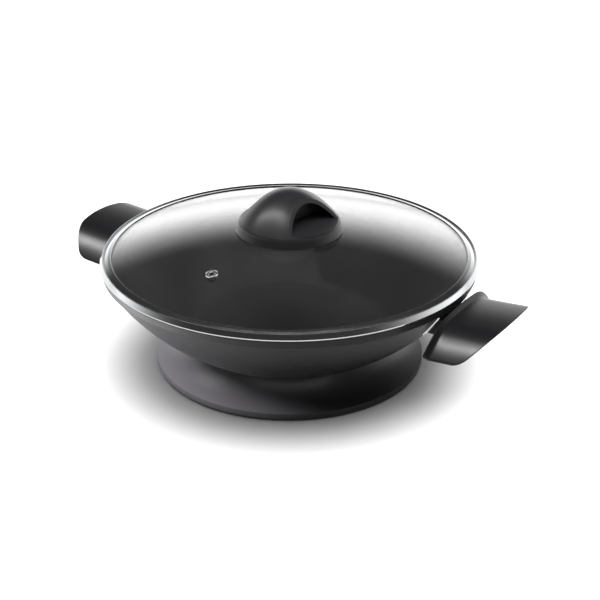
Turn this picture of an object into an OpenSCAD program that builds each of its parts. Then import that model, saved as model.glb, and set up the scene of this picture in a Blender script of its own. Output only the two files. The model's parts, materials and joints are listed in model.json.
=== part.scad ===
// Electric wok: a shallow cast bowl on a flared foot, two arched side handles, a glass
// lid in a steel band with a domed knob, and a heating element with a probe inlet below.
// Millimetres, +Z up. The origin is on the table under the bowl's centre; the handles
// lie along X and the probe inlet faces +Y.

/* [Bowl] */
// Outer radius of the bowl's rim
rim_r = 175; // [160:1:200]
// Height of the rim's top above the table
rim_z = 105; // [92:1:130]
// Radius at which the wall's curve would meet the flat bottom, outside
floor_r = 97.4; // [90:0.1:110]
// Thickness of the cast wall
bowl_wall = 3.5; // [2.5:0.1:5]
// Height of the plain band at the rim
lip_h = 7; // [4:0.5:10]
// How far the wall is set in below that band
lip_step = 1.6; // [0.8:0.1:3]
// Width of the flat seat on top of the rim
seat_w = 6; // [4.5:0.1:8]
// Height of the flat underside above the table
floor_z = 27; // [24:0.5:32]
// Radius of the round between the flat bottom and the wall, outside
floor_round = 30; // [18:1:45]

/* [Foot] */
// Radius of the foot's lower edge
foot_r = 127.7; // [112:0.5:135]
// Radius of the foot's neck under the bowl
waist_r = 98; // [94:0.5:102]
// Height of the foot's widest edge
foot_edge_z = 5.5; // [4.5:0.1:7]
// Slope of the foot's surface at its edge, in degrees
edge_slope = 12.1; // [2:0.1:20]
// Wall of the foot
foot_wall = 2.8; // [2:0.1:4]
// Thickness of the inner deck that carries the screws
deck_t = 3; // [2:0.1:4]
// Thickness of the bottom cover
cover_t = 2; // [1.5:0.1:3]
// Height of the cover above the table
cover_z = 3; // [2:0.1:4]
// Radius of a rubber foot
pad_r = 9; // [6:0.5:11]
// Distance of the rubber feet's centres from the foot's edge
pad_inset = 24.7; // [20:0.1:34]

/* [Heating] */
// Thickness of the plate that is bonded under the bowl
plate_under_t = 2; // [1.5:0.1:3]
// Radius of the heating ring's centre line
elem_r = 72; // [66:1:78]
// Diameter of the heating tube
elem_d = 7; // [6:0.1:8]
// Depth of the heating ring's centre line, and of the inlet's, below the flat bottom
elem_depth = 8; // [7:0.1:8.5]
// Distance between the two terminal pins
pin_pitch = 26; // [24:0.5:30]
// Diameter of a terminal pin
pin_d = 4.8; // [4:0.1:5.5]
// Outer diameter of the probe sleeve
sleeve_d = 8.4; // [7:0.1:9.5]
// Bore of the probe sleeve
sleeve_bore = 6.4; // [4:0.1:6.8]
// How far the bonded plate reaches past the heating ring's centre line
plate_reach = 10; // [8:0.5:12]
// How far the heat shield reaches past the heating ring's centre line
shield_reach = 12; // [8:0.5:15]
// Thickness of the heat shield
shield_t = 0.8; // [0.5:0.1:1.2]

/* [Inlet] */
// Width of the inlet hood
hood_w = 50; // [44:1:60]
// Height of the inlet hood
hood_h = 20.4; // [18:0.2:20.8]
// How far the mouth of the hood lies inside the foot's edge
hood_inset = 0.7; // [0:0.1:4]
// Depth of the hood, from its mouth to its back
hood_depth = 24.5; // [21:0.5:26]
// Wall of the hood
hood_wall = 2.4; // [1.8:0.1:3]

/* [Handles] */
// Gap between the rim and a handle's inner edge
handle_gap = 4; // [3.6:0.1:8]
// Length of a handle outwards, at the height of its crest
handle_len = 50.6; // [40:0.1:66]
// How far the handle's crest lies below the rim, at its inner edge
crest_drop = 5.7; // [5:0.1:11]
// Width of a handle along the rim
handle_w = 134.8; // [100:0.2:150]
// Radius of the handle's arch
arch_r = 118; // [95:1:160]
// Thickness of the handle's plate
plate_t = 4.2; // [3:0.1:6]
// How far the handle rises outwards, in degrees
handle_rise = 3.4; // [0:0.1:6]
// Lean of the handle's outer end from upright, in degrees
end_lean = 43.8; // [20:0.1:50]
// Radius of the handle's outer corners
corner_r = 14; // [6:0.5:20]
// Height of the raised lip at the handle's inner edge
grip_lip_h = 4; // [2:0.1:6]
// Half width of the neck that joins a handle to the bowl
neck_half_w = 25; // [20:0.5:32]
// Half width of the cast lug inside the neck
lug_half_w = 13; // [11:0.5:16]
// Distance of the two handle screws from the handle's middle line
screw_y = 7; // [6:0.1:8]

/* [Lid] */
// Play of the lid's leg inside the rim
lid_play = 1; // [0.5:0.1:3]
// Radius of the dome of the glass
dome_r = 610; // [520:5:800]
// Height of the glass's upper edge above the band's lower face
glass_edge_h = 5.06; // [4.6:0.02:6]
// Thickness of the glass
glass_t = 4; // [3:0.1:5]
// How far the band reaches over the glass
band_grip = 4.2; // [3:0.1:6]
// How far the band stands out past the bowl's rim
band_out = 1.6; // [0.5:0.1:3]
// Height of the band's outer bead, with the seal under it
bead_h = 6; // [4.5:0.1:7]
// Height of the seal under the bead
seal_h = 4.5; // [3:0.1:5]
// How far the band's leg hangs down inside the rim
leg_h = 8; // [5:0.5:12]
// Distance from the axis to the steam vent
vent_r = 110; // [80:1:120]
// Direction of the steam vent, in degrees
vent_angle = -94.7; // [-180:0.1:180]
// Hole through the steam vent
vent_bore = 4.4; // [3:0.1:5]

/* [Knob] */
// Radius of the knob's collar at its foot
collar_r = 50; // [42:0.5:56]
// Radius of the knob's dome
knob_r = 46.8; // [38:0.2:50]
// Height of the knob's dome
knob_h = 30; // [24:0.5:36]
// Height of the seam between collar and dome above the top of the glass
knob_seam = 7.5; // [6:0.1:9]
// Wall of the dome beside the finger pockets
knob_wall = 2.6; // [2:0.1:4]
// Half thickness of the grip between the pockets
grip_half = 11; // [8:0.5:13]
// Half width of a finger pocket
pocket_half_w = 29; // [20:0.5:31]
// Distance from the axis to the pocket's mouth at the seam
mouth_s = 32.8; // [28:0.2:36]
// Lean of the pocket's mouth towards the axis, in degrees
mouth_lean = 29.5; // [15:0.5:35]
// Direction of the first pocket, in degrees
knob_turn = -12; // [-180:1:180]

/* [Hidden] */
$fn = 96;

// Clearances
seam = 0.3;        // between pieces that only face each other
fit = 0.1;         // around a piece that sits in its seat
thread_fit = 0.05; // around a screw in its tapped hole
lid_gap = 0.3;     // between the lid and the rim that carries it
cut = 0.5;         // how far a cutter runs past the face that it opens
far = 300;         // longer than any piece

// Bowl
lip_bottom_z = rim_z - lip_h;
wall_top_r = rim_r - lip_step;
wall_h = lip_bottom_z - floor_z;
bowl_cz = (pow(wall_top_r, 2) - pow(floor_r, 2) + pow(lip_bottom_z, 2) - pow(floor_z, 2)) / (2 * wall_h);
bowl_r = sqrt(pow(floor_r, 2) + pow(bowl_cz - floor_z, 2));
inside_r = bowl_r - bowl_wall;
seat_r = rim_r - seat_w;
round_r = sqrt(pow(bowl_r - floor_round, 2) - pow(bowl_cz - floor_z - floor_round, 2));
round_z = floor_z + floor_round;
round_end_angle = atan2(round_r, bowl_cz - round_z);
round_end_r = bowl_r * sin(round_end_angle);
rim_edge = 0.8;

// Deck, bosses and screws of the foot
deck_gap = 4.5;
deck_bottom_z = cover_z + cover_t + deck_gap;
deck_top_z = deck_bottom_z + deck_t;
shield_top_z = deck_top_z + shield_t;
spacer_h = 2.7;
boss_z = shield_top_z + spacer_h;
boss_r = 6;
bead_wall = 3;
boss_circle_r = elem_r - elem_d / 2 - bead_wall - boss_r - 7.5;
boss_roof = 2;
plate_z = floor_z - plate_under_t;
m4_r = 2;
m4_head_r = 3.9;
m4_head_h = 2.6;
m3_r = 1.5;
m3_head_r = 2.8;
m3_head_h = 1.4;
deck_in_r = boss_circle_r - 10;
shield_r = elem_r + shield_reach;
cover_r = foot_r - 10.7;
cover_ledge = 4;
foot_bottom_z = 1.2;
foot_bevel = 4;
post_r = 4;
post_circle_r = cover_r - 17;
pad_circle_r = foot_r - pad_inset;
post_angles = [20, 160, 200, 340];
corner_angles = [45, 135, 225, 315];
waist_in_r = waist_r - foot_wall;
waist_z = under_z(waist_in_r) - seam;

// Heating ring: it leaves its circle near +Y and turns out to the terminals
inlet_z = floor_z - elem_depth;
elem_tube_r = elem_d / 2;
elem_turn_r = 10;
elem_sleeve = 0.2;
elem_gap = asin((pin_pitch / 2 + elem_turn_r) / (elem_r + elem_turn_r));
elem_turn_x = (elem_r + elem_turn_r) * sin(elem_gap);
elem_turn_y = (elem_r + elem_turn_r) * cos(elem_gap);
notch_y = elem_turn_y - 0.7;
bead_half_w = elem_tube_r + bead_wall;
bead_bottom_z = inlet_z - 0.5;

// Inlet
back_wall = 3;
hood_mouth_y = foot_r - hood_inset;
hood_back_y = hood_mouth_y - hood_depth;
hood_bottom_z = inlet_z - hood_h / 2;
cavity_back_y = hood_back_y + back_wall;
block_half_w = pin_pitch / 2 + elem_tube_r + 5.5;
block_back_y = hood_back_y - 17.5;
block_top_z = floor_z - 0.7;
ear_half_w = block_half_w + 14;
ear_front_y = hood_back_y - 10.5;
ear_back_y = hood_back_y - 23.5;
ear_t = 2.5;
ear_screw_x = ear_half_w - 6;
ear_screw_y = (ear_front_y + ear_back_y) / 2;
sheath_end_y = cavity_back_y;
insulator_len = 5;
tube_hole_r = elem_tube_r + 2 * elem_sleeve + fit;
insulator_r = tube_hole_r + 0.2;
pin_tip_y = hood_mouth_y - 4;
sleeve_in_y = 22;
sleeve_tip_y = cavity_back_y + 8.5;
earth_t = 0.8;
earth_h = 7;
earth_x = hood_w / 2 - hood_wall - 0.7 - earth_t;
earth_tip_y = hood_mouth_y - 7;

// Handles
handle_in = rim_r + handle_gap;
handle_out = handle_in + handle_len;
crest_z = rim_z - crest_drop;
guard_gap = 0.4;
guard_t = 1;
neck_gap = guard_gap + guard_t + 0.5;
neck_top_z = lip_bottom_z - 1.5;
neck_bottom_z = neck_top_z - 17.5;
neck_out = handle_in + 10;
neck_wall_out = neck_out - 6;
lug_z = neck_bottom_z + 8.5;
lug_half_h = 5.5;
lug_out = rim_r + 1;
m5_r = 2.5;
m5_head_r = 4.4;
m5_head_h = 3.2;
washer_r = 4.9;
washer_t = 1;
m5_reach = 9;
grip_lip_t = 2.6;
grip_fillet = 3;
lean_slope = tan(end_lean);
rise_slope = tan(handle_rise);

// Lid
glass_r = seat_r - lid_play;
band_r = rim_r + band_out;
band_bottom_z = rim_z + lid_gap;
dome_cz = band_bottom_z + glass_edge_h - sqrt(dome_r * dome_r - glass_r * glass_r);
glass_top_z = dome_cz + dome_r;
band_t = 0.9;
band_fit = 0.12;
bead_top_z = band_bottom_z + bead_h;
seal_top_z = band_bottom_z + seal_h;
bead_in_r = band_r - 5;
groove_z = bead_top_z - 1.6;
bead_round = 1.3;
cup_r = glass_r + 1.1;
leg_out_r = glass_r - fit;
leg_in_r = leg_out_r - 1;
leg_bottom_z = rim_z - leg_h;
grip_in_r = glass_r - band_grip;
vent_z = glass_z(vent_r);
vent_tilt = asin(vent_r / dome_r);
vent_tube_r = vent_bore / 2 + 0.9;
vent_flange_r = vent_bore / 2 + 3.5;

// Knob
seam_z = glass_top_z + knob_seam;
collar_bottom_z = glass_z(collar_r) + 0.4;
collar_top_r = knob_r + 0.5;
collar_wall = 2.6;
spigot_r = collar_top_r - collar_wall;
spigot_h = 1.8;
gasket_t = 1;
gasket_r = 14;
gasket_sleeve_r = 4.3;
glass_hole_r = gasket_sleeve_r + fit;
lower_gasket_r = 12;
lower_gasket_t = 1.4;
lower_gasket_z = glass_under_z(lower_gasket_r) - lower_gasket_t;
knob_washer_r = 10;
knob_washer_t = 1.2;
knob_washer_z = lower_gasket_z - knob_washer_t;
hub_z = glass_top_z + gasket_t;
insert_r = 4;
insert_z = seam_z + 1;
insert_h = 12;
knob_screw_top_z = insert_z + insert_h - 1;
pocket_floor_rise = 3.5;

// Height of the top face of the glass at a distance from the axis
function glass_z(r) = dome_cz + sqrt(dome_r * dome_r - r * r);
// Height of the under face of the glass
function glass_under_z(r) = dome_cz + sqrt(pow(dome_r - glass_t, 2) - r * r);
// Height of the bowl's outside
function under_z(r) =
    r < round_r ? floor_z
    : r < round_end_r ? round_z - sqrt(floor_round * floor_round - pow(r - round_r, 2))
    : bowl_cz - sqrt(bowl_r * bowl_r - r * r);
// Points on an arc: centre, radius, first and last angle, number of steps
function arc(x, y, r, a, b, n) =
    [for (i = [0:n]) [x + r * cos(a + (b - a) * i / n), y + r * sin(a + (b - a) * i / n)]];
// Drop of the handle's arch at a distance from its middle line
function arch_drop(y) = arch_r - sqrt(arch_r * arch_r - y * y);

// One of the bowl's two faces, from the flat bottom to the height where it ends
function bowl_face(radius, bottom, end_r) =
    let (blend = floor_round - (bowl_r - radius), step = 1.5)
    concat(
        [[0, bottom]],
        arc(round_r, round_z, blend, -90, round_end_angle - 90, 6),
        arc(0, bowl_cz, radius, round_end_angle + step - 90, asin(end_r / radius) - 90, 22)
    );

// A copy at each angle, at one distance from the axis
module around(angles, distance) {
    for (a = angles)
        rotate([0, 0, a])
            translate([distance, 0, 0])
                children();
}

// The same shape on the right and, turned half round, on the left
module both_sides() {
    for (a = [0, 180])
        rotate([0, 0, a])
            children();
}

module sphere_at(radius, height) {
    translate([0, 0, height])
        sphere(r = radius, $fn = 200);
}

// A rod along +Y from one distance to another
module rod_y(x, z, r, y0, y1) {
    translate([x, y0, z])
        rotate([-90, 0, 0])
            cylinder(r = r, h = y1 - y0);
}

// A rod along +X
module rod_x(y, z, r, x0, x1) {
    translate([x0, y, z])
        rotate([0, 90, 0])
            cylinder(r = r, h = x1 - x0);
}

// A screw standing head down: shank above z = 0, pan head below, with a cross recess
module pan_screw(r, len, head_r, head_h) {
    difference() {
        union() {
            cylinder(r = r, h = len);
            translate([0, 0, -head_h])
                cylinder(r = head_r, h = head_h);
        }
        for (a = [0, 90])
            rotate([0, 0, a])
                translate([-head_r * 0.55, -head_r * 0.12, -head_h - cut])
                    cube([head_r * 1.1, head_r * 0.24, head_h * 0.55 + cut]);
    }
}

// ---- Bowl ----------------------------------------------------------------------------

module bowl_section() {
    polygon(concat(
        bowl_face(bowl_r, floor_z, wall_top_r),
        [
            [rim_r - rim_edge, lip_bottom_z],
            [rim_r, lip_bottom_z + rim_edge],
            [rim_r, rim_z - rim_edge],
            [rim_r - rim_edge, rim_z],
            [seat_r + rim_edge, rim_z],
            [seat_r, rim_z - rim_edge]
        ],
        reverse(bowl_face(inside_r, floor_z + bowl_wall, seat_r))
    ));
}

function reverse(list) = [for (i = [len(list) - 1:-1:0]) list[i]];

// The lug that a handle is screwed to, on the right
module handle_lug() {
    difference() {
        translate([0, -lug_half_w, lug_z - lug_half_h])
            cube([lug_out, 2 * lug_half_w, 2 * lug_half_h]);
        sphere_at(bowl_r - bowl_wall / 2, bowl_cz);
        for (y = [-screw_y, screw_y])
            rod_x(y, lug_z, m5_r + thread_fit, lug_out - m5_reach, lug_out + cut);
    }
}

// The ring under the plate that the heating tube is pressed into, open near +Y
module element_bead() {
    difference() {
        rotate_extrude()
            difference() {
                translate([elem_r - bead_half_w, bead_bottom_z])
                    square([2 * bead_half_w, plate_z - bead_bottom_z + plate_under_t / 2]);
                translate([elem_r, inlet_z])
                    circle(r = elem_tube_r + fit);
            }
        linear_extrude(height = plate_z)
            polygon([
                [0, 0],
                [far * sin(elem_gap + 3), far * cos(elem_gap + 3)],
                [-far * sin(elem_gap + 3), far * cos(elem_gap + 3)]
            ]);
    }
}

// The cradle under the plate for the probe sleeve
module sleeve_cradle() {
    difference() {
        translate([-sleeve_d / 2 - 2.5, sleeve_in_y, inlet_z])
            cube([sleeve_d + 5, boss_circle_r + 2 - sleeve_in_y, plate_z - inlet_z + plate_under_t / 2]);
        rod_y(0, inlet_z, sleeve_d / 2 + fit, sleeve_in_y - cut, elem_r);
    }
}

module wok_bowl() {
    color([0.17, 0.17, 0.175])
    union() {
        rotate_extrude($fn = 200)
            bowl_section();
        both_sides()
            handle_lug();
    }
}

// The plate bonded under the bowl, with the ring, the cradle and the four screw bosses
module heat_plate() {
    color([0.62, 0.62, 0.63])
    difference() {
        union() {
            translate([0, 0, plate_z])
                cylinder(r = elem_r + plate_reach, h = plate_under_t);
            element_bead();
            sleeve_cradle();
            around(corner_angles, boss_circle_r)
                translate([0, 0, boss_z])
                    cylinder(r = boss_r, h = plate_z - boss_z + plate_under_t / 2);
        }
        around(corner_angles, boss_circle_r)
            translate([0, 0, boss_z - cut])
                cylinder(r = m4_r + thread_fit, h = floor_z - boss_z - boss_roof + cut);
    }
}

// ---- Heating -------------------------------------------------------------------------

// One of the tube's two ends: a quarter turn out of the ring, then straight to the inlet.
// Each length is sleeved a little thicker than the one before it.
module element_end() {
    lap = 1;
    translate([elem_turn_x, elem_turn_y, inlet_z])
        rotate([0, 0, 180])
            rotate_extrude(angle = 90 - elem_gap)
                translate([elem_turn_r, 0])
                    circle(r = elem_tube_r + elem_sleeve);
    rod_y(pin_pitch / 2, inlet_z, elem_tube_r + 2 * elem_sleeve, elem_turn_y - lap, sheath_end_y);
}

module heating_element() {
    lap_angle = 1.2;
    color([0.55, 0.55, 0.54])
    union() {
        translate([0, 0, inlet_z])
            rotate([0, 0, 90 + elem_gap - lap_angle])
                rotate_extrude(angle = 360 - 2 * elem_gap + 2 * lap_angle)
                    translate([elem_r, 0])
                        circle(r = elem_tube_r);
        element_end();
        mirror([1, 0, 0])
            element_end();
    }
}

module probe_sleeve() {
    color([0.72, 0.72, 0.73])
    difference() {
        rod_y(0, inlet_z, sleeve_d / 2, sleeve_in_y, sleeve_tip_y);
        rod_y(0, inlet_z, sleeve_bore / 2, sleeve_in_y + 2, sleeve_tip_y + cut);
    }
}

module base_spacers() {
    color([0.9, 0.88, 0.83])
    around(corner_angles, boss_circle_r)
        translate([0, 0, shield_top_z])
            difference() {
                cylinder(r = boss_r, h = spacer_h);
                translate([0, 0, -cut])
                    cylinder(r = m4_r + 0.3, h = spacer_h + 2 * cut);
            }
}

// A thin steel plate with a raised middle and a turned-up edge
module heat_shield() {
    edge_h = 2.2;
    dish_r = boss_circle_r - 18;
    dish_h = 1.2;
    color([0.62, 0.62, 0.63])
    difference() {
        rotate_extrude()
            polygon([
                [0, deck_top_z + dish_h],
                [dish_r, deck_top_z + dish_h],
                [dish_r + 3, deck_top_z],
                [shield_r - 1.5, deck_top_z],
                [shield_r, deck_top_z + 1.5],
                [shield_r, shield_top_z + edge_h],
                [shield_r - shield_t, shield_top_z + edge_h],
                [shield_r - shield_t, shield_top_z + 1],
                [shield_r - 2, shield_top_z],
                [dish_r + 2.6, shield_top_z],
                [dish_r - 0.4, shield_top_z + dish_h],
                [0, shield_top_z + dish_h]
            ]);
        around(corner_angles, boss_circle_r)
            cylinder(r = m4_r + 0.3, h = far);
        translate([-ear_half_w - 1, notch_y, 0])
            cube([2 * ear_half_w + 2, far, far]);
    }
}

// ---- Foot ----------------------------------------------------------------------------

// Centre of the hollow curve that joins the neck to the edge
flare_dx = foot_r - waist_r;
flare_dz = foot_edge_z - waist_z;
flare_chord = sqrt(flare_dx * flare_dx + flare_dz * flare_dz);
flare_r = flare_chord / (2 * sin(atan(-flare_dz / flare_dx) - edge_slope));
flare_back = sqrt(flare_r * flare_r - flare_chord * flare_chord / 4);
flare_cx = (foot_r + waist_r) / 2 - flare_back * flare_dz / flare_chord;
flare_cz = (foot_edge_z + waist_z) / 2 + flare_back * flare_dx / flare_chord;
flare_top_angle = atan2(waist_z - flare_cz, waist_r - flare_cx) + 360;
flare_edge_angle = atan2(foot_edge_z - flare_cz, foot_r - flare_cx) + 360;
flare_in_r = flare_r + foot_wall;
flare_in_top_angle = 180 + asin((flare_cz - waist_z) / flare_in_r);
flare_in_deck_angle = 180 + asin((flare_cz - deck_top_z) / flare_in_r);

module skirt_section() {
    polygon(concat(
        arc(flare_cx, flare_cz, flare_r, flare_top_angle, flare_edge_angle, 18),
        [
            [foot_r, foot_edge_z - 0.6],
            [foot_r - 0.35 * foot_bevel, foot_edge_z - 0.5 * (foot_edge_z - foot_bottom_z)],
            [foot_r - foot_bevel, foot_bottom_z],
            [cover_r + seam, foot_bottom_z],
            [cover_r + seam, cover_z + cover_t],
            [cover_r - cover_ledge, cover_z + cover_t],
            [cover_r - cover_ledge - 1, deck_bottom_z],
            [deck_in_r, deck_bottom_z],
            [deck_in_r, deck_top_z]
        ],
        arc(flare_cx, flare_cz, flare_in_r, flare_in_deck_angle, flare_in_top_angle, 12)
    ));
}

module base_skirt() {
    slot = 0.5;
    rib_t = 2;
    color([0.2, 0.2, 0.205])
    difference() {
        union() {
            rotate_extrude($fn = 200)
                skirt_section();
            around(post_angles, post_circle_r)
                translate([0, 0, cover_z + cover_t])
                    cylinder(r = post_r, h = deck_gap + deck_t);
            for (a = [0:30:330])
                rotate([0, 0, a])
                    translate([deck_in_r, -rib_t / 2, deck_bottom_z - 2])
                        cube([cover_r - cover_ledge - deck_in_r, rib_t, 3]);
        }
        around(post_angles, post_circle_r)
            cylinder(r = m3_r + thread_fit, h = deck_top_z - 1);
        around(corner_angles, boss_circle_r)
            cylinder(r = m4_r + 0.3, h = far);
        for (x = [-ear_screw_x, ear_screw_x])
            translate([x, ear_screw_y, 0])
                cylinder(r = m3_r + 0.3, h = far);
        translate([-hood_w / 2 - slot, hood_back_y - slot, hood_bottom_z - slot])
            cube([hood_w + 2 * slot, far, far]);
        translate([-block_half_w - slot, block_back_y, deck_top_z])
            cube([2 * block_half_w + 2 * slot, hood_back_y - block_back_y, far]);
    }
}

module base_screws() {
    color([0.75, 0.75, 0.76])
    around(corner_angles, boss_circle_r)
        translate([0, 0, deck_bottom_z])
            pan_screw(m4_r, floor_z - boss_roof - 1.5 - deck_bottom_z, m4_head_r, m4_head_h);
}

module bottom_cover() {
    slots = 16;
    slot_r = post_circle_r - 30;
    color([0.16, 0.16, 0.165])
    translate([0, 0, cover_z])
        difference() {
            union() {
                cylinder(r = cover_r, h = cover_t);
                difference() {
                    cylinder(r = 40, h = cover_t + 1.2);
                    translate([0, 0, -cut])
                        cylinder(r = 38, h = cover_t + 2 * cut + 1.2);
                }
            }
            around(corner_angles, pad_circle_r)
                translate([0, 0, -cut])
                    cylinder(r = 3 + fit, h = cover_t + 2 * cut);
            around(post_angles, post_circle_r)
                translate([0, 0, -cut])
                    cylinder(r = m3_r + 0.2, h = cover_t + 2 * cut);
            around([for (i = [0:slots - 1]) (i + 0.5) * 360 / slots], slot_r)
                translate([-9, -1.5, -cut])
                    cube([18, 3, cover_t + 2 * cut]);
        }
}

module cover_screws() {
    color([0.75, 0.75, 0.76])
    around(post_angles, post_circle_r)
        translate([0, 0, cover_z])
            pan_screw(m3_r, deck_bottom_z - cover_z, m3_head_r, m3_head_h);
}

// Each foot is a pad with a stem and a head that snaps through the cover
module rubber_feet() {
    stem_r = 3;
    head_r = 4.2;
    color([0.12, 0.12, 0.12])
    around(corner_angles, pad_circle_r)
        rotate_extrude()
            polygon([
                [0, 0],
                [pad_r - 1, 0],
                [pad_r, 1],
                [pad_r, cover_z],
                [stem_r, cover_z],
                [stem_r, cover_z + cover_t + fit],
                [head_r, cover_z + cover_t + fit],
                [stem_r - 0.6, cover_z + cover_t + 2],
                [0, cover_z + cover_t + 2]
            ]);
}

// ---- Inlet ---------------------------------------------------------------------------

// A hood that is open towards +Y, on a block that holds the tube's ends
module inlet_shroud() {
    bell = 1.2;
    color([0.1, 0.1, 0.1])
    difference() {
        union() {
            translate([-hood_w / 2, hood_back_y, hood_bottom_z])
                cube([hood_w, hood_mouth_y - hood_back_y, hood_h]);
            translate([-block_half_w, block_back_y, deck_top_z])
                cube([2 * block_half_w, hood_back_y - block_back_y + 1, block_top_z - deck_top_z]);
            translate([-ear_half_w, ear_back_y, deck_top_z])
                cube([2 * ear_half_w, ear_front_y - ear_back_y, ear_t]);
        }
        translate([-hood_w / 2 + hood_wall, cavity_back_y, hood_bottom_z + hood_wall])
            cube([hood_w - 2 * hood_wall, far, hood_h - 2 * hood_wall]);
        translate([-hood_w / 2 + hood_wall - bell, hood_mouth_y - bell, hood_bottom_z + hood_wall - bell])
            cube([hood_w - 2 * hood_wall + 2 * bell, far, hood_h - 2 * hood_wall + 2 * bell]);
        for (x = [-pin_pitch / 2, pin_pitch / 2])
            rod_y(x, inlet_z, tube_hole_r, 0, far);
        rod_y(0, inlet_z, sleeve_d / 2 + fit, 0, far);
        for (x = [-earth_x - earth_t, earth_x])
            translate([x - fit, hood_back_y - 4, inlet_z - earth_h / 2 - fit])
                cube([earth_t + 2 * fit, far, earth_h + 2 * fit]);
        for (x = [-ear_screw_x, ear_screw_x])
            translate([x, ear_screw_y, 0])
                cylinder(r = m3_r + thread_fit, h = far);
    }
}

module terminal_pins() {
    pin_r = pin_d / 2;
    color([0.8, 0.78, 0.7])
    for (x = [-pin_pitch / 2, pin_pitch / 2])
        translate([x, sheath_end_y, inlet_z])
            rotate([-90, 0, 0])
                rotate_extrude()
                    polygon([
                        [0, 0],
                        [pin_r, 0],
                        [pin_r, pin_tip_y - sheath_end_y - 1.6],
                        [pin_r - 0.5, pin_tip_y - sheath_end_y - 0.7],
                        [pin_r - 1.4, pin_tip_y - sheath_end_y],
                        [0, pin_tip_y - sheath_end_y]
                    ]);
}

module pin_insulators() {
    color([0.92, 0.9, 0.85])
    for (x = [-pin_pitch / 2, pin_pitch / 2])
        difference() {
            rod_y(x, inlet_z, insulator_r, sheath_end_y, sheath_end_y + insulator_len);
            rod_y(x, inlet_z, pin_d / 2 + fit, sheath_end_y - cut, far);
        }
}

// A flat spring blade on each side of the cavity, with a dimple that meets the plug
module earth_contacts() {
    color([0.78, 0.72, 0.5])
    for (x = [-earth_x - earth_t, earth_x])
        union() {
            translate([x, hood_back_y - 4, inlet_z - earth_h / 2])
                cube([earth_t, earth_tip_y - hood_back_y + 4, earth_h]);
            translate([x < 0 ? x + earth_t - 0.4 : x + 0.4, earth_tip_y - 5, inlet_z])
                rotate([0, x < 0 ? 90 : -90, 0])
                    cylinder(r1 = 2.4, r2 = 1, h = 1.4);
        }
}

module inlet_screws() {
    color([0.75, 0.75, 0.76])
    for (x = [-ear_screw_x, ear_screw_x])
        translate([x, ear_screw_y, deck_bottom_z])
            pan_screw(m3_r, deck_t + ear_t - 0.4, m3_head_r, m3_head_h);
}

// ---- Handles -------------------------------------------------------------------------

// Places what is drawn round the arch's axis: distance from it, and minus the way out
module on_arch() {
    translate([handle_in, 0, crest_z])
        rotate([0, -handle_rise, 0])
            translate([0, 0, -arch_r])
                rotate([0, -90, 0])
                    children();
}

// Outline of the handle seen from above, with its rounded outer corners
module handle_plan() {
    half_w = handle_w / 2;
    corner_y = half_w - corner_r;
    // where the round leaves for the leaning end, found from the end's slope there
    slope = lean_slope * (half_w - 0.5 * corner_r) / (arch_r - arch_drop(half_w - 0.5 * corner_r));
    turn = atan(slope);
    touch_y = corner_y + corner_r * sin(turn);
    touch_x = end_x(touch_y);
    corner_x = touch_x - corner_r * cos(turn);
    union() {
        polygon([
            [handle_in - 10, -half_w],
            [corner_x, -half_w],
            [corner_x, -corner_y],
            [touch_x, -touch_y],
            [touch_x + slope * touch_y, 0],
            [touch_x, touch_y],
            [corner_x, corner_y],
            [corner_x, half_w],
            [handle_in - 10, half_w]
        ]);
        for (y = [-corner_y, corner_y])
            translate([corner_x, y])
                circle(r = corner_r);
    }
}

// Distance from the axis to the leaning end, on the top face at a distance from the middle
function end_x(y) =
    (handle_out - lean_slope * (arch_drop(y) + rise_slope * handle_in)) / (1 - lean_slope * rise_slope);

// The arched plate with its raised inner lip, as a strip turned round the arch's axis
module arch_plate() {
    reach = end_x(0) - handle_in + 8;
    sweep = asin(handle_w / 2 / arch_r) + 3;
    intersection() {
        difference() {
            on_arch()
                rotate([0, 0, -sweep])
                    rotate_extrude(angle = 2 * sweep, $fn = 180)
                        polygon(concat(
                            [
                                [arch_r - plate_t, 0],
                                [arch_r + grip_lip_h - 0.6, 0],
                                [arch_r + grip_lip_h, -0.6],
                                [arch_r + grip_lip_h, -grip_lip_t + 0.6],
                                [arch_r + grip_lip_h - 0.6, -grip_lip_t]
                            ],
                            arc(arch_r + grip_fillet, -grip_lip_t - grip_fillet, grip_fillet, 90, 180, 6),
                            [
                                [arch_r, -reach],
                                [arch_r - plate_t, -reach]
                            ]
                        ));
            translate([handle_out, 0, crest_z])
                rotate([0, end_lean, 0])
                    translate([0, -far / 2, -far / 2])
                        cube([far, far, far]);
        }
        linear_extrude(height = far)
            handle_plan();
    }
}

// The block that reaches in under the rim and takes the bowl's lug
module handle_neck() {
    intersection() {
        difference() {
            translate([0, -neck_half_w, neck_bottom_z])
                cube([neck_out, 2 * neck_half_w, neck_top_z - neck_bottom_z]);
            sphere_at(bowl_r + neck_gap, bowl_cz);
            translate([0, -lug_half_w - seam, lug_z - lug_half_h - seam])
                cube([lug_out + seam, 2 * lug_half_w + 2 * seam, 2 * lug_half_h + 2 * seam]);
        }
        on_arch()
            cylinder(r = arch_r - plate_t / 2, h = far, center = true, $fn = 180);
    }
}

module handle() {
    color([0.19, 0.19, 0.195])
    difference() {
        union() {
            arch_plate();
            handle_neck();
        }
        for (y = [-screw_y, screw_y]) {
            rod_x(y, lug_z, m5_r + 0.2, lug_out, far);
            rod_x(y, lug_z, washer_r + 0.3, neck_wall_out, far);
        }
    }
}

module handle_right() {
    handle();
}

module handle_left() {
    rotate([0, 0, 180])
        handle();
}

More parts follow.
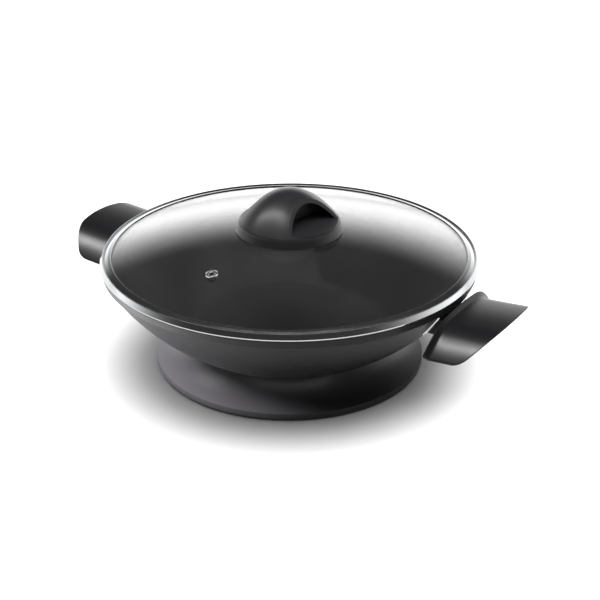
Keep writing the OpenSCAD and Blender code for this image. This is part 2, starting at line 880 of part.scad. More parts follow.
// A steel skin between the bowl and the neck, open round the lug
module guard() {
    margin = 2;
    color([0.78, 0.78, 0.79])
    difference() {
        intersection() {
            difference() {
                sphere_at(bowl_r + guard_gap + guard_t, bowl_cz);
                sphere_at(bowl_r + guard_gap, bowl_cz);
            }
            translate([0, -neck_half_w - margin, neck_bottom_z - margin])
                cube([far, 2 * (neck_half_w + margin), neck_top_z - neck_bottom_z + margin + 0.7]);
        }
        translate([0, -lug_half_w - seam, lug_z - lug_half_h - seam])
            cube([far, 2 * lug_half_w + 2 * seam, 2 * lug_half_h + 2 * seam]);
    }
}

module guard_right() {
    guard();
}

module guard_left() {
    rotate([0, 0, 180])
        guard();
}

module handle_washers() {
    color([0.75, 0.75, 0.76])
    both_sides()
        for (y = [-screw_y, screw_y])
            difference() {
                rod_x(y, lug_z, washer_r, neck_wall_out, neck_wall_out + washer_t);
                rod_x(y, lug_z, m5_r + 0.2, 0, far);
            }
}

module handle_screws() {
    shank = neck_wall_out + washer_t - (lug_out - m5_reach) - 1;
    color([0.75, 0.75, 0.76])
    both_sides()
        for (y = [-screw_y, screw_y])
            translate([neck_wall_out + washer_t, y, lug_z])
                rotate([0, -90, 0])
                    pan_screw(m5_r, shank, m5_head_r, m5_head_h);
}

// ---- Lid -----------------------------------------------------------------------------

// Places what is drawn at the origin, +Z up, on the glass at the vent
module at_vent() {
    rotate([0, 0, vent_angle])
        translate([vent_r, 0, vent_z])
            rotate([0, vent_tilt, 0])
                children();
}

module lid_glass() {
    color([0.8, 0.86, 0.86, 0.3])
    difference() {
        intersection() {
            difference() {
                sphere_at(dome_r, dome_cz);
                sphere_at(dome_r - glass_t, dome_cz);
            }
            cylinder(r = glass_r, h = far);
        }
        cylinder(r = glass_hole_r, h = far);
        at_vent()
            cylinder(r = vent_tube_r + fit, h = 4 * glass_t, center = true);
    }
}

// Folded steel: a grip over and under the edge of the glass, a bead that covers the seal,
// a groove between them, and a leg that hangs down inside the rim
module lid_rim_band() {
    edge_top = glass_z(glass_r) + band_fit;
    edge_bottom = glass_under_z(glass_r) - band_fit;
    grip_top = glass_z(grip_in_r) + band_fit;
    grip_bottom = glass_under_z(grip_in_r) - band_fit;
    color([0.8, 0.8, 0.81])
    rotate_extrude($fn = 200)
        polygon(concat(
            [
                [glass_r + band_fit, edge_top],
                [grip_in_r, grip_top],
                [grip_in_r - 0.3, grip_top + band_t / 2],
                [grip_in_r + 0.1, grip_top + band_t],
                [glass_r + 1, edge_top + band_t],
                [glass_r + 1.8, groove_z],
                [bead_in_r - 0.6, groove_z],
                [bead_in_r, groove_z + 0.8]
            ],
            arc(bead_in_r + bead_round, bead_top_z - bead_round, bead_round, 165, 90, 4),
            arc(band_r - bead_round, bead_top_z - bead_round, bead_round, 90, 0, 5),
            [
                [band_r, seal_top_z],
                [bead_in_r + band_t, seal_top_z],
                [bead_in_r + band_t, groove_z - band_t],
                [cup_r, groove_z - band_t],
                [cup_r, band_bottom_z],
                [leg_out_r, band_bottom_z],
                [leg_out_r, leg_bottom_z],
                [leg_in_r, leg_bottom_z],
                [leg_in_r, glass_under_z(leg_in_r) - band_fit - band_t],
                [grip_in_r, grip_bottom - band_t],
                [grip_in_r, grip_bottom],
                [glass_r + band_fit, edge_bottom]
            ]
        ));
}

// The black ring under the bead, which lies on the bowl's rim
module lid_seal() {
    inset = 0.3;
    color([0.08, 0.08, 0.08])
    rotate_extrude($fn = 200)
        polygon([
            [cup_r + fit, band_bottom_z + 0.4],
            [cup_r + fit + 0.4, band_bottom_z],
            [band_r - inset - 0.8, band_bottom_z],
            [band_r - inset - 0.2, band_bottom_z + 0.25],
            [band_r - inset, band_bottom_z + 0.9],
            [band_r - inset, seal_top_z],
            [bead_in_r + band_t + fit, seal_top_z],
            [bead_in_r + band_t + fit, groove_z - band_t],
            [cup_r + fit, groove_z - band_t]
        ]);
}

// A flanged steel eyelet with a rounded top and a crimped foot
module vent_grommet() {
    proud = 3;
    color([0.75, 0.75, 0.76])
    at_vent()
        rotate_extrude()
            polygon([
                [vent_bore / 2, -glass_t - 1],
                [vent_tube_r + 1.4, -glass_t - 1],
                [vent_tube_r + 1.4, -glass_t - fit],
                [vent_tube_r, -glass_t - fit],
                [vent_tube_r, fit],
                [vent_flange_r, fit],
                [vent_flange_r, proud - 1],
                [vent_flange_r - 0.3, proud - 0.3],
                [vent_flange_r - 1, proud],
                [vent_bore / 2 + 0.9, proud],
                [vent_bore / 2 + 0.3, proud - 0.3],
                [vent_bore / 2, proud - 1]
            ]);
}

// ---- Knob ----------------------------------------------------------------------------

// Section of the dome between the seam and its top, drawn in by a wall
module dome_section(inset) {
    steps = 20;
    polygon(concat(
        [for (i = [0:steps]) let (u = i / steps)
            [(knob_r - inset) * u, seam_z + (knob_h - inset) * (1 - u * u)]],
        [[0, seam_z]]
    ));
}

// Everything on one side of a plane that leans in towards the axis, above the pocket's floor
module pocket_mouth() {
    translate([mouth_s, -far / 2, seam_z])
        rotate([0, -mouth_lean, 0])
            translate([0, 0, -far / 2])
                cube([far, far, far]);
}

// Space above the sloping floor of a pocket
module above_floor() {
    floor_slope = atan(pocket_floor_rise / (knob_r - grip_half));
    translate([knob_r, 0, seam_z + 0.5])
        rotate([0, floor_slope, 0])
            translate([-2 * knob_r, -far / 2, 0])
                cube([4 * knob_r, far, far]);
}

module finger_pocket() {
    intersection() {
        union() {
            pocket_mouth();
            intersection() {
                rotate_extrude()
                    dome_section(knob_wall);
                translate([grip_half, -pocket_half_w, 0])
                    cube([far, 2 * pocket_half_w, far]);
            }
        }
        above_floor();
    }
}

module knob_dome() {
    color([0.22, 0.22, 0.225])
    rotate([0, 0, knob_turn])
        difference() {
            union() {
                rotate_extrude($fn = 180)
                    dome_section(0);
                translate([0, 0, seam_z - spigot_h])
                    cylinder(r = spigot_r - fit, h = spigot_h + 0.2);
            }
            for (a = [0, 180])
                rotate([0, 0, a])
                    finger_pocket();
            translate([0, 0, seam_z - spigot_h - cut])
                cylinder(r = m5_r + 0.3, h = knob_screw_top_z + 2 - seam_z + spigot_h + cut);
            translate([0, 0, insert_z])
                cylinder(r = insert_r + fit, h = insert_h + fit);
        }
}

// The flared ring under the dome, with a floor and a hub for the screw
module knob_collar() {
    floor_top_z = seam_z - spigot_h - fit;
    underside_z = hub_z + 1.6;
    color([0.2, 0.2, 0.205])
    rotate_extrude($fn = 180)
        polygon([
            [m5_r + 0.3, hub_z],
            [gasket_r - 1, hub_z],
            [gasket_r - 0.4, underside_z],
            [collar_r - 5.5, underside_z],
            [collar_r - 3, collar_bottom_z + 0.3],
            [collar_r - 0.5, collar_bottom_z],
            [collar_r, collar_bottom_z + 0.6],
            [collar_r - 0.55, collar_bottom_z + 2],
            [collar_top_r + 0.5, seam_z - 3],
            [collar_top_r, seam_z - 0.6],
            [collar_top_r - 0.4, seam_z - 0.15],
            [spigot_r, seam_z - 0.15],
            [spigot_r, floor_top_z],
            [m5_r + 0.3, floor_top_z]
        ]);
}

module knob_insert() {
    color([0.8, 0.7, 0.4])
    translate([0, 0, insert_z])
        difference() {
            cylinder(r = insert_r, h = insert_h);
            translate([0, 0, -cut])
                cylinder(r = m5_r + thread_fit, h = insert_h + 2 * cut);
        }
}

// A soft ring between collar and glass, with a sleeve down through the hole
module knob_gasket() {
    color([0.3, 0.3, 0.3])
    difference() {
        union() {
            translate([0, 0, glass_top_z])
                cylinder(r = gasket_r - 1.5, h = gasket_t);
            translate([0, 0, lower_gasket_z + lower_gasket_t])
                cylinder(r = gasket_sleeve_r, h = glass_top_z - lower_gasket_z - lower_gasket_t + cut);
        }
        cylinder(r = m5_r + 0.3, h = far);
    }
}

module lower_gasket() {
    color([0.3, 0.3, 0.3])
    translate([0, 0, lower_gasket_z])
        difference() {
            cylinder(r = lower_gasket_r, h = lower_gasket_t);
            translate([0, 0, -cut])
                cylinder(r = m5_r + 0.3, h = far);
        }
}

module knob_washer() {
    color([0.78, 0.78, 0.79])
    translate([0, 0, knob_washer_z])
        difference() {
            cylinder(r = knob_washer_r, h = knob_washer_t);
            translate([0, 0, -cut])
                cylinder(r = m5_r + 0.3, h = far);
        }
}

module knob_screw() {
    color([0.75, 0.75, 0.76])
    translate([0, 0, knob_washer_z])
        pan_screw(m5_r, knob_screw_top_z - knob_washer_z, m5_head_r, m5_head_h);
}

wok_bowl();
heat_plate();
heating_element();
probe_sleeve();
base_spacers();
heat_shield();
base_skirt();
base_screws();
bottom_cover();
cover_screws();
rubber_feet();
inlet_shroud();
terminal_pins();
pin_insulators();
earth_contacts();
inlet_screws();
handle_right();
handle_left();
guard_right();
guard_left();
handle_washers();
handle_screws();
lid_glass();
lid_rim_band();
lid_seal();
vent_grommet();
knob_dome();
knob_collar();
knob_insert();
knob_gasket();
lower_gasket();
knob_washer();
knob_screw();
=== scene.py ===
"""Electric wok: looks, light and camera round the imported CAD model.

Lengths are millimetres until a mesh is made, which is where MM turns them to metres; lamps
and their sizes are in metres. Surfaces are numpy grids, and every new piece replaces the CAD
node of its name.
"""

import json
import math

import bmesh
import bpy
import numpy as np
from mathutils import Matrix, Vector


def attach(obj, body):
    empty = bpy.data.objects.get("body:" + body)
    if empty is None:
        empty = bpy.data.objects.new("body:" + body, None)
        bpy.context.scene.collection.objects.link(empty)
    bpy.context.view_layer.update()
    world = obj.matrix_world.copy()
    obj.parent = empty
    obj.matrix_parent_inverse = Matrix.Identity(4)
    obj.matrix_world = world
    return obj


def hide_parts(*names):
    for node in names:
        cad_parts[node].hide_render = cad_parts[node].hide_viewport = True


MM = 0.001
TURN = 2 * math.pi

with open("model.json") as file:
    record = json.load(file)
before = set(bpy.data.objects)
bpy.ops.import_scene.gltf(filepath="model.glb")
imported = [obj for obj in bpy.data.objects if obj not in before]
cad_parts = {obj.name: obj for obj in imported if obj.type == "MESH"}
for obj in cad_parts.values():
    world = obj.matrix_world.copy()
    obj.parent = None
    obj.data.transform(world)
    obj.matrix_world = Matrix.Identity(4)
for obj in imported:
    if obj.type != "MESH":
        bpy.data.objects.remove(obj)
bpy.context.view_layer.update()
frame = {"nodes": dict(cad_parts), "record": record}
cad = frame["nodes"]


# ---- Sizes shared with the CAD model, in mm ----------------------------------------------

RIM_R = 175.0  # bowl's rim
RIM_Z = 105.0
SEAT_W = 6.0  # shelf inside the rim that the lid lies on

BAND_R = RIM_R + 1.6  # lid's steel band
BAND_BOTTOM = RIM_Z + 0.3
BEAD_TOP = BAND_BOTTOM + 6.0
SKIRT_BOTTOM = RIM_Z - 8.0
GLASS_R = RIM_R - SEAT_W - 1.0
GLASS_T = 4.0
DOME_R = 610.0
GLASS_EDGE_H = 5.06

# ---- Sizes of the finished pieces, in mm -------------------------------------------------

SEAL_TOP = BAND_BOTTOM + 0.8
GROOVE = BEAD_TOP - 1.6
GRIP_IN = GLASS_R - 1.8
GLASS_GAP = 0.12  # between the glass and the band round its edge
GRIP_T = 0.9  # the band's lower grip

PLATE_IN = RIM_R + 4.65  # handle's plate: inner edge and outer end at the middle
PLATE_OUT = 232.6
PLATE_Z = 97.9  # its top face at the inner edge
PLATE_T = 4.2
PLATE_RISE = math.tan(math.radians(4.4))
END_LEAN = math.tan(math.radians(40.7))
IN_BOW = 0.00092  # how the two long edges bend towards the bowl, per mm
OUT_BOW = 0.00035
BEND_START = math.radians(7.44)  # its section: three arcs, each a radius and two slopes
BEND_END = math.radians(34.4)
LEG_END = math.radians(49.5)
ARCH = ((201.6, 0.0, BEND_START), (41.7, BEND_START, BEND_END), (86.3, BEND_END, LEG_END))
ARCH_HALF = sum(r * (last - first) for r, first, last in ARCH)
OUT_CORNER = 6.6
IN_CORNER = 1.6
LEAST_OUT_CORNER = 2.0  # of the rings inside the outline
LEAST_IN_CORNER = 0.5
LIP_RISE = 5.7  # raised lip along the inner edge: height, flat top, width and steepness
LIP_FLAT = 0.9
LIP_W = 1.5
LIP_STEEP = 2.4
TOP_ROUND = 1.2
UNDER_ROUND = 0.7
SPINE_END = 17.0  # the mid line that its rings close on ends this far before its ends
TOP_INSETS = (11, 9.5, 8, 6.8, 5.8, 5, 4.3, 3.7, 3.2, 2.8, 2.4, 2.0, 1.7, 1.4)
UNDER_INSET = 4.0

NECK_TOP = PLATE_Z - 3.2  # what stays of the CAD's handle: its neck, just inside its faces
NECK_OUT = RIM_R + 14.0 - 0.02
NECK_HALF_W = 25.0 - 0.02

FOOT_R = 127.7  # foot's flare: its edge, and the centre and radius of its hollow curve
FLARE_CX, FLARE_CZ, FLARE_R = 137.14, 49.55, 45.05
RIM_LIFT = 2.6  # grows from LIFT_START to the edge
LIFT_START = 101.0
NEAR_FLARE = 0.3  # points this near the hollow curve are on the flare
NEAR_CORNER_R, NEAR_CORNER_Z = 0.5, 0.25
FOOT_CORNERS = (  # corners under the flare's edge: r and z in the CAD, r and z here
    (127.7, 4.9, 127.7, 7.4),
    (126.3, 3.35, 127.6, 3.0),
    (123.7, 1.2, 126.9, 1.2),
)

DOME_CZ = BAND_BOTTOM + GLASS_EDGE_H - math.sqrt(DOME_R**2 - GLASS_R**2)


def glass_z(r):
    """Height of the glass's top face at distance r from the axis: a sphere."""
    return DOME_CZ + math.sqrt(DOME_R**2 - r * r)


def glass_under_z(r):
    """Height of the glass's under face at distance r from the axis."""
    return DOME_CZ + math.sqrt((DOME_R - GLASS_T) ** 2 - r * r)


# ---- Meshes ------------------------------------------------------------------------------

WELD = 1e-6  # metres: points closer than this are one


def rounded(corners, steps=5):
    """A closed polyline whose corners (x, z, r) are turned to arcs of radius r.

    Each arc touches both sides, and takes at most 0.46 of a side. A support point just
    outside each of its ends keeps the flats flat.
    """
    most, spare = 0.46, 0.12
    pts = np.array([c[:2] for c in corners], float)
    n = len(pts)
    t = np.linspace(0, 1, steps + 1)[:, None]
    out = []
    for i, (_, _, r) in enumerate(corners):
        p = pts[i]
        u, v = pts[i - 1] - p, pts[(i + 1) % n] - p
        lu, lv = np.linalg.norm(u), np.linalg.norm(v)
        u, v = u / lu, v / lv
        half = math.acos(np.clip(u @ v, -1, 1)) / 2
        reach = min(r / math.tan(half), most * lu, most * lv)
        r = reach * math.tan(half)
        centre = p + (u + v) / np.linalg.norm(u + v) * (r / math.sin(half))
        a, b = p + u * reach, p + v * reach
        sweep = math.pi - 2 * half
        start, end = np.sin((1 - t) * sweep), np.sin(t * sweep)
        ray = (start * (a - centre) + end * (b - centre)) / math.sin(sweep)
        u, v = u * spare * reach, v * spare * reach
        out += [(a + u)[None], centre + ray, (b + v)[None]]
    return np.concatenate(out)


def grid_faces(rows, cols, wrap_rows):
    """Quads of a grid of points: each row is a ring, and the last row may join the first."""
    r, c = np.arange(rows if wrap_rows else rows - 1), np.arange(cols)
    r, c = np.meshgrid(r, c, indexing="ij")
    r2, c2 = (r + 1) % rows, (c + 1) % cols
    quads = np.stack([r * cols + c, r * cols + c2, r2 * cols + c2, r2 * cols + c], -1)
    return quads.reshape(-1, 4).tolist()


def revolve(profile):
    """A closed profile (r, z), turned about Z: x = r cos a, y = r sin a."""
    segments = 320
    a = np.linspace(0, TURN, segments, endpoint=False)
    r = profile[:, None, 0]
    z = np.repeat(profile[:, 1:], segments, 1)
    verts = np.stack([r * np.cos(a), r * np.sin(a), z], -1).reshape(-1, 3)
    return verts, grid_faces(len(profile), segments, True)


def raw_mesh(name, verts, faces):
    """A mesh in metres from points in mm and faces."""
    mesh = bpy.data.meshes.new(name)
    mesh.from_pydata((np.asarray(verts) * MM).tolist(), [], faces)
    return mesh


def baked(bm, name):
    """A mesh from a bmesh, which it frees."""
    mesh = bpy.data.meshes.new(name)
    bm.to_mesh(mesh)
    bm.free()
    return mesh


def merged(mesh):
    """A bmesh copy of a mesh, its loose faces joined."""
    bm = bmesh.new()
    bm.from_mesh(mesh)
    bmesh.ops.remove_doubles(bm, verts=bm.verts, dist=WELD)
    return bm


def new_object(name, mesh, material, sharp=None):
    """An object at the origin, smooth-shaded but for edges past the sharp angle in degrees."""
    mesh.shade_smooth()
    if sharp:
        mesh.set_sharp_from_angle(angle=math.radians(sharp))
    mesh.materials.clear()
    mesh.materials.append(material)
    obj = bpy.data.objects.new(name, mesh)
    bpy.context.scene.collection.objects.link(obj)
    return obj


def arch(s):
    """Section of the handle's plate, s mm along its top face from the middle.

    Gives how far to the side, how far down and the slope there, summed over the section's
    arcs: each starts with the slope that the one before it ends on.
    """
    side, left = np.sign(s), np.abs(s)
    out, down, slope = (np.zeros(np.shape(s)) for _ in range(3))
    for r, first, last in ARCH:
        a = np.clip(first + left / r, first, last)
        left = left - r * (last - first)
        out = out + r * (np.sin(a) - math.sin(first))
        down = down + r * (math.cos(first) - np.cos(a))
        slope = slope + a - first
    return side * out, down, side * slope


def handle_plate():
    """The handle's plate as rings round its outline, from one mid line over the edge to the other.

    A point has x across the plate, s along its arch and h above its top face. The top rises to
    the lip by LIP_RISE / (1 + (u / w)^p), u being the distance past the lip's flat top.
    """
    lean = END_LEAN / (1 - END_LEAN * PLATE_RISE)

    def inner(s):
        """The inner edge's x: a parabola."""
        return PLATE_IN - IN_BOW * arch(s)[0] ** 2

    def outer(s, h):
        """The outer end's x: a leaning plane, bent by a parabola."""
        y, down, slope = arch(s)
        return PLATE_OUT - lean * (down - h * np.cos(slope)) - OUT_BOW * y * y

    def lip(x, s):
        """How far the top stands up for the lip."""
        past = np.maximum(x - inner(s) - LIP_FLAT, 0)
        return LIP_RISE / (1 + (past / LIP_W) ** LIP_STEEP)

    def outline(inset, h):
        """Round the plate from the middle of its outer end, the corners as quarter rounds."""
        r_out = max(OUT_CORNER - inset, LEAST_OUT_CORNER)
        r_in = max(IN_CORNER - inset, LEAST_IN_CORNER)
        end = ARCH_HALF - inset
        along = np.linspace(-1, 1, 121)
        turn = np.radians(np.linspace(0, 90, 10))[1:]
        s_out = along * (end - r_out)
        s_in = along[::-1] * (end - r_in)
        s_corner = end - r_out * (1 - np.sin(turn))
        s_tip = end - r_in * (1 - np.sin(turn))
        x_corner = outer(s_corner, h) - inset - r_out * (1 - np.cos(turn))
        x_tip = inner(s_tip) + inset + r_in * (1 - np.cos(turn))
        across = np.linspace(0, 1, 14)[1:-1]
        x_end = x_corner[-1] + (x_tip[-1] - x_corner[-1]) * across
        s_end = np.full(len(x_end), end)
        x = [outer(s_out, h) - inset, x_corner, x_end, x_tip[::-1]]
        x += [inner(s_in) + inset, x_tip, x_end[::-1], x_corner[::-1]]
        s = [s_out, s_corner, s_end, s_tip[::-1], s_in, -s_tip, -s_end, -s_corner[::-1]]
        return np.concatenate(x), np.concatenate(s)

    def to_spine(inset, h, share):
        """A ring between an inset outline and the plate's mid line."""
        x, s = outline(inset, h)
        mid_s = np.clip(s, SPINE_END - ARCH_HALF, ARCH_HALF - SPINE_END)
        mid_x = (inner(mid_s) + outer(mid_s, h)) / 2
        return x + (mid_x - x) * share, s + (mid_s - s) * share

    def place(x, s, h):
        """Points in space: h is measured square to the arch."""
        y, down, slope = arch(s)
        z = PLATE_Z + PLATE_RISE * (x - PLATE_IN) - down + h * np.cos(slope)
        return np.stack([x, y + h * np.sin(slope), z], 1)

    rings = []
    for share in (1.0, 0.96, 0.88, 0.75, 0.6, 0.4, 0.2):
        x, s = to_spine(TOP_INSETS[0], 0.0, share)
        rings.append(place(x, s, lip(x, s)))
    for inset in TOP_INSETS:
        x, s = outline(inset, 0.0)
        rings.append(place(x, s, lip(x, s)))
    for turn in np.radians(np.linspace(90, 0, 6)):
        h = -TOP_ROUND * (1 - math.sin(turn))
        x, s = outline(TOP_ROUND * (1 - math.cos(turn)), h)
        rings.append(place(x, s, h + lip(x, s)))
    for turn in np.radians(np.linspace(0, 90, 5)):
        h = UNDER_ROUND * (1 - math.sin(turn)) - PLATE_T
        rings.append(place(*outline(UNDER_ROUND * (1 - math.cos(turn)), h), h))
    for share in (0.0, 0.33, 0.67, 0.9, 1.0):
        rings.append(place(*to_spine(UNDER_INSET, -PLATE_T, share), -PLATE_T))
    return np.concatenate(rings), grid_faces(len(rings), len(rings[0]), False)


def handle(node, material, side):
    """A handle: its plate, and the neck cut out of the CAD node under it."""
    neck = merged(cad[node].data)
    for point, normal in (
        ((0, 0, NECK_TOP), (0, 0, 1)),
        ((side * NECK_OUT, 0, 0), (side, 0, 0)),
        ((0, NECK_HALF_W, 0), (0, 1, 0)),
        ((0, -NECK_HALF_W, 0), (0, -1, 0)),
    ):
        geom = neck.verts[:] + neck.edges[:] + neck.faces[:]
        cut = bmesh.ops.bisect_plane(
            neck, geom=geom, plane_co=Vector(point) * MM, plane_no=normal, clear_outer=True
        )["geom_cut"]
        edges = [e for e in cut if isinstance(e, bmesh.types.BMEdge)]
        bmesh.ops.triangle_fill(neck, use_beauty=True, edges=edges, normal=normal)
    bmesh.ops.remove_doubles(neck, verts=neck.verts, dist=WELD)
    verts, faces = handle_plate()
    both = merged(raw_mesh(node + "_plate", verts * (side, side, 1), faces))
    bmesh.ops.recalc_face_normals(both, faces=both.faces)
    both.from_mesh(baked(neck, node + "_neck"))
    return new_object(node + "_finish", baked(both, node + "_finish"), material, sharp=40.0)


def refined(node, material, edge):
    """A merged copy of a CAD node's mesh, its flats dissolved and its edges rounded.

    Angles are in degrees: faces that turn less than flat are one, and more than sharp an edge.
    """
    flat, sharp = 0.2, 35.0
    bm = merged(cad[node].data)
    limit = math.radians(flat)
    bmesh.ops.dissolve_limit(bm, angle_limit=limit, verts=bm.verts, edges=bm.edges)
    obj = new_object(node + "_finish", baked(bm, node + "_finish"), material, sharp)
    if edge:
        bevel = obj.modifiers.new("edges", "BEVEL")
        bevel.width = edge * MM
        bevel.segments = 3
        bevel.limit_method = "ANGLE"
        bevel.angle_limit = math.radians(sharp)
        bevel.harden_normals = False
        bevel.use_clamp_overlap = True
    return obj


def square_rim(obj):
    """Lifts the flare's outer edge and squares the foot's side below it.

    The lift grows as a smooth step of the distance from the axis; the three corners under the
    edge move to the side's own corners.
    """
    mesh = obj.data
    co = np.empty(len(mesh.vertices) * 3)
    mesh.vertices.foreach_get("co", co)
    co = co.reshape(-1, 3) / MM
    r, z = np.hypot(co[:, 0], co[:, 1]), co[:, 2].copy()
    new_r = r.copy()
    t = np.clip((r - LIFT_START) / (FOOT_R - LIFT_START), 0, 1)
    flare = np.abs(np.hypot(r - FLARE_CX, z - FLARE_CZ) - FLARE_R) < NEAR_FLARE
    co[flare, 2] += (RIM_LIFT * t * t * (3 - 2 * t))[flare]
    for old_r, old_z, corner_r, corner_z in FOOT_CORNERS:
        near = (np.abs(r - old_r) < NEAR_CORNER_R) & (np.abs(z - old_z) < NEAR_CORNER_Z)
        here = near & ~flare
        new_r[here], co[here, 2] = corner_r, corner_z
    co[:, :2] *= (new_r / np.maximum(r, WELD))[:, None]
    mesh.vertices.foreach_set("co", (co * MM).ravel())
    mesh.update()


def stands_for(obj, node):
    """The piece rides on the node's body and replaces it: the node is hidden."""
    body = "lid" if node in frame["record"]["behaviour"]["bodies"]["lid"] else "wok"
    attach(obj, body)
    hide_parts(node)
    return obj


# ---- Materials ---------------------------------------------------------------------------

CLOUD_MM = 40.0  # patches of slightly different colour and sheen in a moulding
POLISH_MM = 25.0  # patches of slightly different polish on steel
SMEAR_MM = 60.0  # patches of slightly duller glass


def linear(code):
    """An sRGB hex colour as linear RGBA."""
    c = np.array([int(code[i : i + 2], 16) for i in (0, 2, 4)]) / 255
    c = np.where(c <= 0.04045, c / 12.92, ((c + 0.055) / 1.055) ** 2.4)
    return (*c.tolist(), 1.0)


def add(tree, kind, inputs=None, **settings):
    """Adds a node, sets its settings and sets or links its inputs."""
    n = tree.nodes.new("ShaderNode" + kind)
    for key, value in settings.items():
        setattr(n, key, value)
    for key, value in (inputs or {}).items():
        if isinstance(value, bpy.types.NodeSocket):
            tree.links.new(value, n.inputs[key])
        else:
            n.inputs[key].default_value = value
    return n


def material(name):
    """An empty node material, its tree and its Object coordinates."""
    m = bpy.data.materials.new(name)
    m.use_nodes = True
    m.node_tree.nodes.clear()
    return m, m.node_tree, add(m.node_tree, "TexCoord").outputs["Object"]


def finished(m, shader):
    """The material with its output node on the shader."""
    add(m.node_tree, "OutputMaterial", {"Surface": shader.outputs[0]})
    return m


def grained(m, place, varies, rough, looks, grain_mm, grain, depth_mm=0.05, detail=2.0):
    """A surface with a fine grain as bump, and a sheen that follows a noise.

    place is what the grain is read at. The roughness goes from rough[0] to rough[1] while
    varies, or the grain itself where that is None, goes from 0.3 to 0.7.
    """
    t = m.node_tree
    fine = {"Vector": place, "Scale": 1 / (grain_mm * MM), "Detail": detail}
    fine = add(t, "TexNoise", fine).outputs["Fac"]
    sheen = {
        "Value": varies or fine,
        "From Min": 0.3,
        "From Max": 0.7,
        "To Min": rough[0],
        "To Max": rough[1],
    }
    sheen = add(t, "MapRange", sheen).outputs["Result"]
    bump = {"Height": fine, "Strength": grain, "Distance": depth_mm * MM}
    bump = add(t, "Bump", bump).outputs["Normal"]
    looks = {**looks, "Roughness": sheen, "Normal": bump}
    return finished(m, add(t, "BsdfPrincipled", looks))


def moulded(name, dark, light, rough, spread, grain_mm, grain, specular=0.5):
    """Moulded or cast surface: a faint cloudy colour, a fine grain and a sheen that varies."""
    m, t, place = material(name)
    cloud = {"Vector": place, "Scale": 1 / (CLOUD_MM * MM), "Detail": 3.0}
    cloud = add(t, "TexNoise", cloud).outputs["Fac"]
    tint = add(t, "Mix", {0: cloud, 6: linear(dark), 7: linear(light)}, data_type="RGBA")
    looks = {"Base Color": tint.outputs[2], "Specular IOR Level": specular}
    return grained(m, place, cloud, (rough - spread, rough + spread), looks, grain_mm, grain)


def spun_steel(name, colour, rough, line_mm, lines):
    """Steel turned about Z: fine lines run round the axis, as the noise reads r and z alone."""
    m, t, place = material(name)
    parts = add(t, "SeparateXYZ", {"Vector": place})
    flat = add(t, "VectorMath", {0: place, 1: (1, 1, 0)}, operation="MULTIPLY").outputs[0]
    radius = add(t, "VectorMath", {0: flat}, operation="LENGTH").outputs["Value"]
    across = add(t, "CombineXYZ", {"X": radius, "Y": parts.outputs["Z"], "Z": 0.0}).outputs[0]
    wide = {"Vector": place, "Scale": 1 / (POLISH_MM * MM), "Detail": 2.0}
    wide = add(t, "TexNoise", wide).outputs["Fac"]
    looks = {"Base Color": linear(colour), "Metallic": 1.0}
    return grained(m, across, wide, (rough * 0.8, rough * 1.25), looks, line_mm, lines, 0.02, 3.0)


def plain(name, colour, rough, metallic=0.0, grain_mm=0.4, grain=0.1):
    """A small inner piece's finish: one colour with a fine grain."""
    m, _, place = material(name)
    looks = {"Base Color": linear(colour), "Metallic": metallic}
    sheen = (rough * 0.85, min(1.0, rough * 1.2))
    return grained(m, place, None, sheen, looks, grain_mm, grain)


def tempered_glass(name):
    """Clear soda-lime glass. Shadow rays pass, so that lamps light what lies below it."""
    m, t, place = material(name)
    smear = {"Vector": place, "Scale": 1 / (SMEAR_MM * MM), "Detail": 2.0}
    smear = add(t, "TexNoise", smear).outputs["Fac"]
    sheen = {"Value": smear, "From Min": 0.4, "From Max": 0.7, "To Min": 0.0, "To Max": 0.02}
    sheen = add(t, "MapRange", sheen).outputs["Result"]
    looks = {"Base Color": linear("FCFCFC"), "IOR": 1.52, "Transmission Weight": 1.0}
    glass = add(t, "BsdfPrincipled", {**looks, "Roughness": sheen})
    clear = add(t, "BsdfTransparent", {"Color": linear("F6F6F6")})
    shadow = add(t, "LightPath").outputs["Is Shadow Ray"]
    return finished(m, add(t, "MixShader", {0: shadow, 1: glass.outputs[0], 2: clear.outputs[0]}))


# Grains are drawn 0.3 to 0.6 mm wide: the real ones, about 0.1 mm, are too fine to show.
# moulded takes a dark and a light colour, roughness and its spread, the grain in mm and its
# strength, and the specular level, low where the real surface scatters its gloss
# sintered nonstick over cast aluminium: near black, satin, with a fine pebble
nonstick = moulded(
    "nonstick_coating_on_cast_aluminium", "121213", "171718", 0.42, 0.05, 0.5, 0.25, 0.18
)
# glass-filled phenolic, compression moulded: charcoal with a soft even sheen
phenolic = moulded("moulded_phenolic", "1A191B", "1E1D1F", 0.32, 0.03, 0.35, 0.12, 0.25)
# the same for the handles, finer, and painted a shade darker than the knob: painted shade, so that
# the handles look darker than the knob under the same light
shade_darkened_handle_phenolic = moulded(
    "fine_phenolic_painted_darker", "111012", "141315", 0.29, 0.02, 0.3, 0.08, 0.13
)
# mineral-filled polypropylene, injection moulded: charcoal, a little duller
foot_plastic = moulded("moulded_polypropylene", "252426", "2A292B", 0.34, 0.03, 0.4, 0.12, 0.2)
# glass-filled polyester by the heat: black and matt
black_pbt = moulded("black_moulded_pbt", "101010", "151515", 0.5, 0.04, 0.5, 0.2)
# compression moulded silicone with polished mould faces: black, nearly smooth
seal_black = moulded("glossy_black_silicone", "060606", "0A0A0A", 0.12, 0.02, 0.6, 0.03)
# rolled and polished stainless: almost a mirror, its lines hardly felt
stainless = spun_steel("polished_stainless_band", "B4B5B6", 0.1, 0.35, 0.05)
# pressed and tumbled stainless: softer, with round tool lines; like the band, it takes the
# colour, roughness, and the lines in mm and their strength
eyelet_steel = spun_steel("pressed_stainless_eyelet", "D0D1D2", 0.2, 0.3, 0.2)
